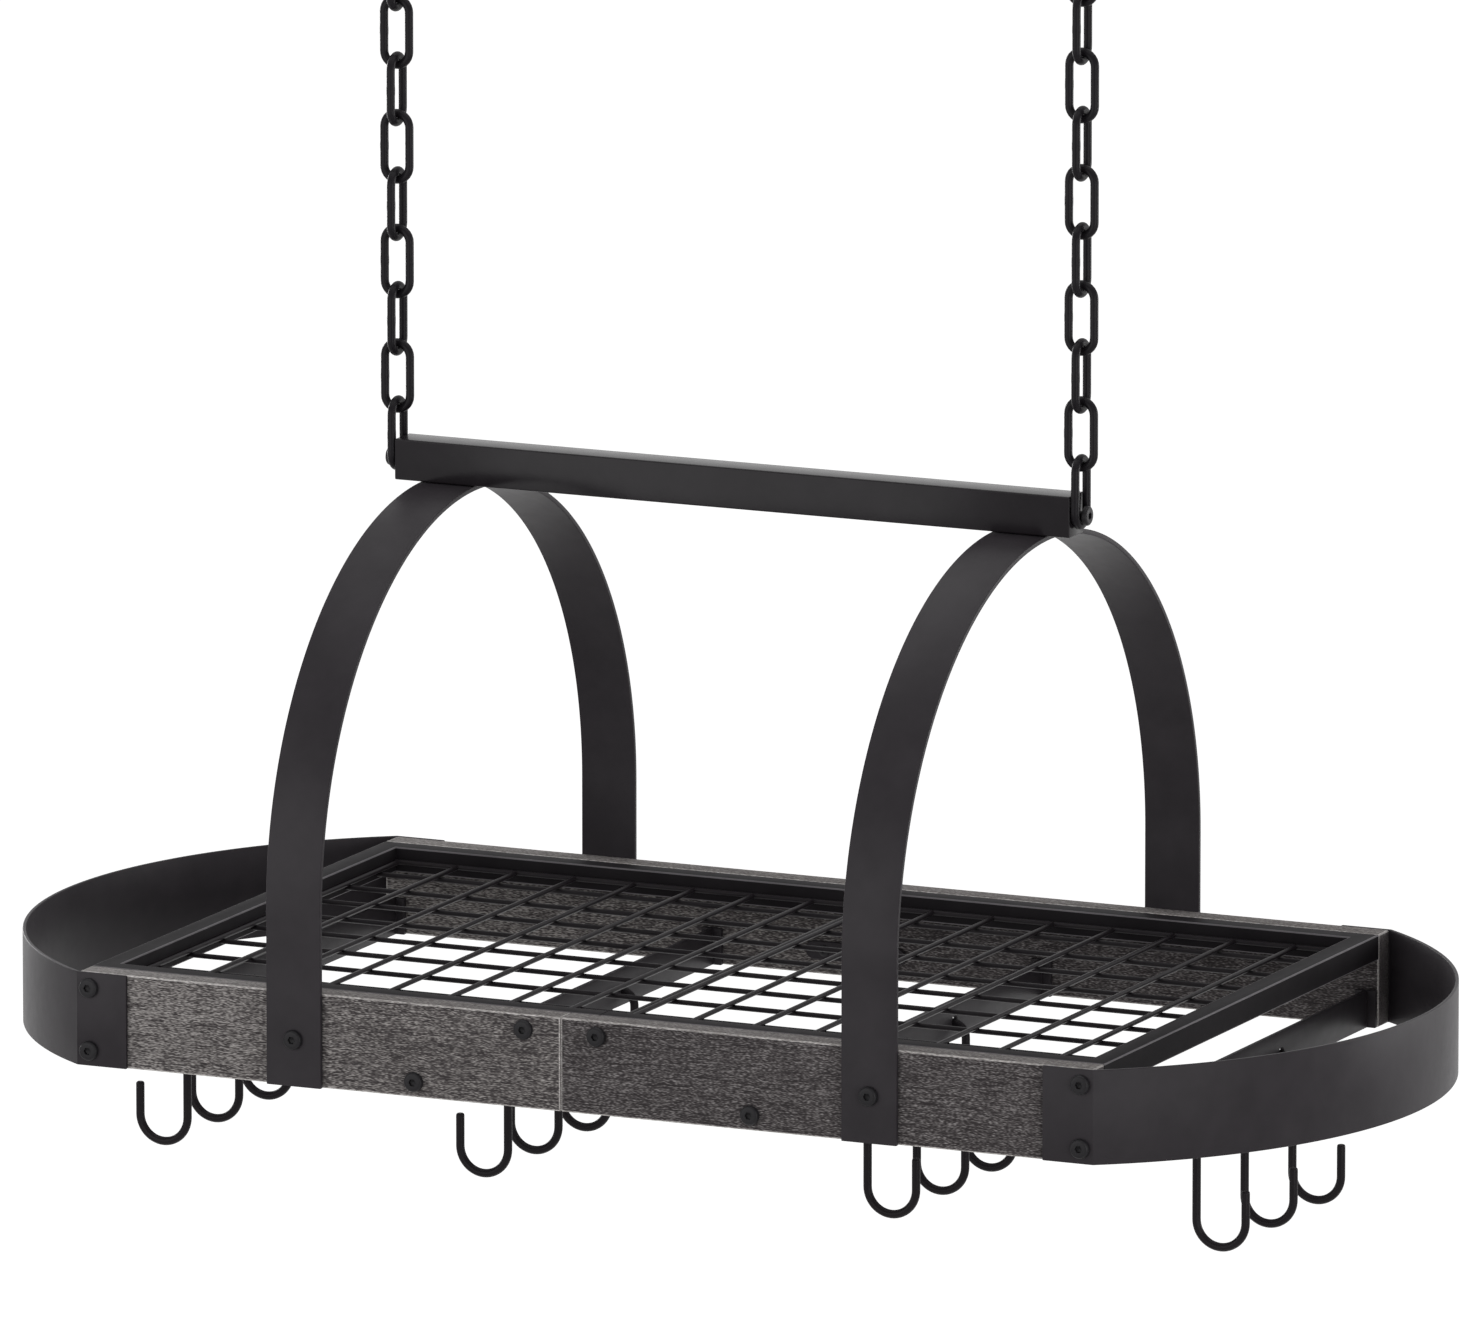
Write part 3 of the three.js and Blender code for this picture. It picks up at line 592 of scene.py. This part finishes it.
# ---- end bands ----
def end_band(side, sign):
    """A flat strap bent round the rack's end, with a tab bolted to each board."""
    mid_y = BAND_OUTER_Y - BAND_THICKNESS / 2
    reach = BAND_REACH - BAND_THICKNESS / 2
    radius = (mid_y**2 + reach**2) / (2 * reach)
    centre_x = CREASE_X + reach - radius
    half = math.degrees(math.atan2(mid_y, CREASE_X - centre_x))
    centre = Vector((sign * centre_x, 0, BOARD_MID_Z))
    bend = arc(centre, X * sign, Y * sign, radius, -half, half, 96)
    tab_x = sign * (CREASE_X - BAND_TAB + reach_of(BAND_CUT))
    tabs = [Vector((tab_x, end * sign * mid_y, BOARD_MID_Z)) for end in (-1, 1)]
    section = rounded(BAND_THICKNESS, BOARD_HEIGHT, BAND_CORNER)
    bm = bmesh.new()
    sweep(bm, tabs[:1] + bend + tabs[1:], section, Z, cut=BAND_CUT)
    bolts = ((UPPER_BOLT_Z, RAIL_OUTER_Y - PAST_RAIL_WALL), (LOWER_BOLT_Z, BOARD_INNER_Y - PAST_BOARD))
    for _, facing in FACES:
        for z, tip_y in bolts:
            outer = (sign * CROSSBAR_X[3], facing * BAND_OUTER_Y, z)
            button_bolt(bm, outer, Y * facing, BAND_OUTER_Y - tip_y)
    show(f"end_band_{side}", bm, [STEEL, BOLT])


# ---- trays ----
def tray_rail(side, sign):
    """A rectangular tube on three sides of a tray, darkened as painted shade, with a painted highlight
    on its corners.
    """
    z = BOARD_TOP_Z - RAIL_HEIGHT / 2
    y = RAIL_OUTER_Y - RAIL_WIDTH / 2
    x = BOARD_END_X - RAIL_WIDTH / 2
    seam = TRAY_SEAM_X + sign * (GAP / 2 + reach_of(RAIL_CUT))
    corners = ((seam, -sign * y), (sign * x, -sign * y), (sign * x, sign * y), (seam, sign * y))
    line = [Vector((a, b, z)) for a, b in corners]
    corner_steps = 4
    section = rounded(RAIL_WIDTH, RAIL_HEIGHT, RAIL_CORNER, corner_steps)
    bm = bmesh.new()
    walls = sweep(bm, line, section, Z, cut=RAIL_CUT)[:-2]
    # the faces round the tube's corners take the painted highlight
    for n, wall in enumerate(walls):
        if n % len(section) % (corner_steps + 1) < corner_steps:
            wall.material_index = TUBE_HIGHLIGHT_SLOT
    bolt_x = SEAM_X + sign * SEAM_BOLT_OFFSET
    outer_y = BOARD_OUTER_Y + GAP
    shank = outer_y - RAIL_OUTER_Y + PAST_RAIL_WALL
    for _, facing in FACES:
        button_bolt(bm, (bolt_x, facing * outer_y, UPPER_BOLT_Z), Y * facing, shank)
    show(f"tray_rail_{side}", bm, [PAINTED_SHADE_TUBE, BOLT, TUBE_HIGHLIGHT])


def tray_mesh(side, sign):
    """A welded grid: the wires across the tray lie on the wires along it, between two rim wires."""
    section = circle(MESH_WIRE / 2, 12)
    high_z = BOARD_TOP_Z - MESH_DROP - MESH_WIRE / 2
    low_z = high_z - MESH_WIRE + MESH_WELD
    end_x = RAIL_INNER_X - GAP
    rim_x, rim_y = end_x - MESH_WIRE / 2, RAIL_INNER_Y - GAP - MESH_WIRE / 2
    seam_x = TRAY_SEAM_X + sign * GAP / 2
    steps = range(1, MESH_WIRES + 1)
    across = [seam_x + sign * MESH_WIRE / 2]
    across += [sign * min(sign * TRAY_SEAM_X + k * MESH_STEP_X, rim_x) for k in steps]
    along = [(-rim_y, high_z), (rim_y, high_z)] + [(k * MESH_STEP_Y - rim_y, low_z) for k in steps]
    bm = bmesh.new()
    for x in across:
        sweep(bm, [Vector((x, -rim_y, high_z)), Vector((x, rim_y, high_z))], section, Z)
    for y, z in along:
        sweep(bm, [Vector((seam_x, y, z)), Vector((sign * end_x, y, z))], section, Z)
    show(f"tray_mesh_{side}", bm, [WIRE])


# ---- splice plates ----
# a pan head with a round recess: its radius at each height
SCREW_HEAD = ((3.4, 0), (3.3, 0.5), (2.6, 1.0), (1.6, 1.2), (1.0, 1.2), (0.9, 0.5))


def splice_plate(face_name, facing):
    """A round-ended plate with an eased edge behind a seam, held by two pan-head screws."""
    inward = -Y * facing
    middle = Vector((SEAM_X, facing * (BOARD_INNER_Y - GAP), SPLICE_Z))
    straight = SPLICE_HALF - SPLICE_RADIUS
    outline = arc(X * straight, X, Z, SPLICE_RADIUS, -90, 90, 12)
    outline += arc(-X * straight, X, Z, SPLICE_RADIUS, 90, 270, 12)
    levels = ((0, 0), (SPLICE_THICKNESS - SPLICE_EDGE, 0), (SPLICE_THICKNESS, SPLICE_EDGE))
    bm = bmesh.new()
    rings = []
    for depth, inset in levels:
        shrink = Vector((1 - inset / SPLICE_HALF, 1, 1 - inset / SPLICE_RADIUS))
        points = [middle + p * shrink + inward * depth for p in outline]
        rings.append([bm.verts.new(p * MM) for p in points])
    skin(bm, rings)
    for _, end in SIDES:
        at = middle + X * end * SPLICE_SCREW_X + inward * SPLICE_THICKNESS
        turned(bm, SCREW_HEAD, turn_to(inward, at), sides=20, slot=BOLT_SLOT)
    show(f"splice_plate_{face_name}", bm, [STEEL, BOLT])


# ---- crossbars ----
def crossbar(number, x):
    """A flat bar on edge with three eased holes, and a plate at each end against the boards."""
    outer_y = BOARD_INNER_Y - GAP
    inner_y = outer_y - END_PLATE_THICKNESS
    low, high = BOARD_UNDER_Z, BOARD_UNDER_Z + CROSSBAR_HEIGHT
    t, w = CROSSBAR_THICKNESS / 2, END_PLATE_WIDTH / 2
    tail_y = inner_y + 0.5  # the bar ends inside its plates
    bm = bmesh.new()
    block(bm, (x - t, -tail_y, low), (x + t, tail_y, high), CROSSBAR_EDGE)
    piece = show(f"crossbar_{number}", bm, [STEEL])
    r, mouth = HOOK_HOLE_RADIUS, HOOK_HOLE_RADIUS + HOLE_EDGE
    past = t + CUTTER_REACH
    waist = [(r, HOLE_EDGE - t), (r, t - HOLE_EDGE)]
    hole = [(mouth, -past), (mouth, -t)] + waist + [(mouth, t), (mouth, past)]
    holes = bmesh.new()
    for k in (-1, 0, 1):
        turned(holes, hole, turn_to(X, (x, k * HOOK_STEP_Y, HOOK_HOLE_Z)), sides=28)
    cut_out(piece, holes)
    ends = bmesh.new()
    for _, facing in FACES:
        y0, y1 = sorted((facing * inner_y, facing * outer_y))
        block(ends, (x - w, y0, low), (x + w, y1, high), END_PLATE_EDGE)
        # the outer crossbars share the end bands' bolts
        if number in (2, 3):
            head_y = BOARD_OUTER_Y + GAP
            shank = head_y - outer_y + PAST_END_PLATE
            button_bolt(ends, (x, facing * head_y, LOWER_BOLT_Z), Y * facing, shank)
    show(f"crossbar_{number}_ends", ends, [STEEL, BOLT], f"crossbar_{number}")


# ---- pot hooks ----
def pot_hook(node, x, y, sign):
    """An S-hook of round wire: a small loop in the crossbar, and a wide bowl on its outer side."""
    crown = Vector((x, y, HOOK_CROWN_Z))
    out = X * sign
    bowl = crown + out * (HOOK_LOOP + HOOK_BOWL) - Z * (HOOK_DROP - HOOK_BOWL)
    tip_z = HOOK_CROWN_Z - HOOK_DROP - HOOK_WIRE / 2 + HOOK_TIP - reach_of(HOOK_CUT)
    tip = bowl + out * HOOK_BOWL
    tip.z = tip_z
    tail = crown - Z * (HOOK_LOOP + HOOK_LOOP_END - reach_of(HOOK_CUT)) - out * HOOK_LOOP
    line = [tip]
    line += arc(bowl, out, Z, HOOK_BOWL, 0, -180, 28)
    line += arc(crown - Z * HOOK_LOOP, out, Z, HOOK_LOOP, 0, 180, 22)
    line.append(tail)
    bm = bmesh.new()
    sweep(bm, line, circle(HOOK_WIRE / 2, 16), Y, cut=HOOK_CUT)
    show(node, bm, [WIRE])


for side, sign in SIDES:
    ceiling_hook(side, sign)
    for i in range(LINKS):
        link_z = TOP_LINK_Z - i * LINK_PITCH
        chain_link(f"chain_link_{side}_{i + 1:02d}", sign * CHAIN_X, link_z, i % 2 == 0)
    chain_bolt(side, sign)
    arch(side, sign)
    end_band(side, sign)
    tray_rail(side, sign)
    tray_mesh(side, sign)
top_bar()
for face_name, facing in FACES:
    board(face_name, facing, "left", -BOARD_END_X, SEAM_X - GAP / 2)
    board(face_name, facing, "right", SEAM_X + GAP / 2, BOARD_END_X)
    splice_plate(face_name, facing)
for bar, x in enumerate(CROSSBAR_X):
    crossbar(bar + 1, x)
    for row in range(3):
        node = f"pot_hook_{bar * 3 + row + 1:02d}"
        pot_hook(node, x, (row - 1) * HOOK_STEP_Y, -1 if x < 0 else 1)


# ---- camera: a long lens from the front right, a little above the rim ----
AZIMUTH, ELEVATION = math.radians(24.852), math.radians(11.260)
IMAGE_WIDTH, FOCAL_LENGTH = 1480, 23911.6  # both in the photograph's pixels
SENSOR_WIDTH = 36
# from the middle of the boards' tops to the eye
EYE_RIGHT, EYE_UP, EYE_BACK = 1.683, 165.466, 13825.9
right = Vector((math.cos(AZIMUTH), math.sin(AZIMUTH), 0))
level = Vector((-math.sin(AZIMUTH), math.cos(AZIMUTH), 0))
forward = level * math.cos(ELEVATION) - Z * math.sin(ELEVATION)
up = right.cross(forward)
lens = bpy.data.cameras.new("long lens")
lens.sensor_width = SENSOR_WIDTH
lens.lens = FOCAL_LENGTH * SENSOR_WIDTH / IMAGE_WIDTH
lens.clip_start = 0.1
lens.clip_end = 200
camera = bpy.data.objects.new("camera", lens)
bpy.context.scene.collection.objects.link(camera)
eye = Z * BOARD_TOP_Z + right * EYE_RIGHT + up * EYE_UP - forward * EYE_BACK
camera.location = eye * MM
camera.rotation_euler = (math.pi / 2 - ELEVATION, 0, AZIMUTH)
bpy.context.scene.camera = camera

# ---- stage: a white room with soft lamps, in metres ----
WHITE = linear("#ffffff")
ROOM_LIGHT, FLOOR_GLOW = 0.14, 0.95
FLOOR_Z, FLOOR_HALF = -1.9, 60


def seen_directly(tree):
    """1 for what the camera, a mirror or clear glass sees, and 0 for the light that reaches the rack."""
    path = add(tree, "LightPath").outputs
    mirrored = {0: path["Is Camera Ray"], 1: path["Is Glossy Ray"]}
    seen = add(tree, "Math", {"operation": "MAXIMUM"}, mirrored)
    through = {0: seen.outputs[0], 1: path["Is Transmission Ray"]}
    return add(tree, "Math", {"operation": "MAXIMUM"}, through).outputs[0]


def white_room():
    """Gives the rack a dim even light, and looks white."""
    world = bpy.data.worlds.new("white room")
    bpy.context.scene.world = world
    world.use_nodes = True
    tree = world.node_tree
    tree.nodes.clear()
    dim = add(tree, "Background", {"Color": WHITE, "Strength": ROOM_LIGHT})
    bright = add(tree, "Background", {"Color": WHITE, "Strength": 1.0})
    both = {0: seen_directly(tree), 1: dim.outputs[0], 2: bright.outputs[0]}
    mixed = add(tree, "MixShader", (), both)
    add(tree, "OutputWorld", (), {0: mixed.outputs[0]})


def pale_floor():
    """A matt floor that keeps the rack's shadow, and looks white around it."""
    mesh = bpy.data.meshes.new("floor")
    h = FLOOR_HALF
    corners = [(x, y, FLOOR_Z) for x, y in ((-h, -h), (h, -h), (h, h), (-h, h))]
    mesh.from_pydata(corners, [], [(0, 1, 2, 3)])
    floor = bpy.data.objects.new("floor", mesh)
    bpy.context.scene.collection.objects.link(floor)
    paint = bpy.data.materials.new("pale matt floor paint")
    paint.use_nodes = True
    tree = paint.node_tree
    tree.nodes.clear()
    matt = add(tree, "BsdfDiffuse", {"Color": linear("#f4f3f1")})
    glow = add(tree, "Emission", {"Color": WHITE, "Strength": FLOOR_GLOW})
    dark_to_others = add(tree, "MixShader", (), {0: seen_directly(tree), 2: glow.outputs[0]})
    together = {0: matt.outputs[0], 1: dark_to_others.outputs[0]}
    surface = add(tree, "AddShader", (), together)
    add(tree, "OutputMaterial", (), {0: surface.outputs[0]})
    mesh.materials.append(paint)


RACK_MIDDLE = Vector((0, 0, -0.6))


def softbox(name, place, size, power):
    """A large soft area lamp that faces the rack."""
    lamp = bpy.data.lights.new(name, "AREA")
    lamp.shape = "RECTANGLE"
    lamp.size, lamp.size_y = size
    lamp.energy = power
    holder = bpy.data.objects.new(name, lamp)
    bpy.context.scene.collection.objects.link(holder)
    holder.location = place
    holder.rotation_euler = (RACK_MIDDLE - Vector(place)).to_track_quat("-Z", "Y").to_euler()


white_room()
pale_floor()
softbox("key from the left front", (-0.6, -1.3, -0.45), (1.6, 1.0), 11)
softbox("fill from the right front", (1.5, -0.9, -0.55), (1.2, 1.0), 13)
softbox("top", (0, 0, 0.4), (1.4, 0.9), 6)
softbox("back right", (1.5, 1.2, -0.4), (0.9, 0.8), 14)
softbox("back left", (-1.8, 1.1, -0.4), (0.8, 0.8), 12)

bpy.context.scene.view_settings.view_transform = "Standard"
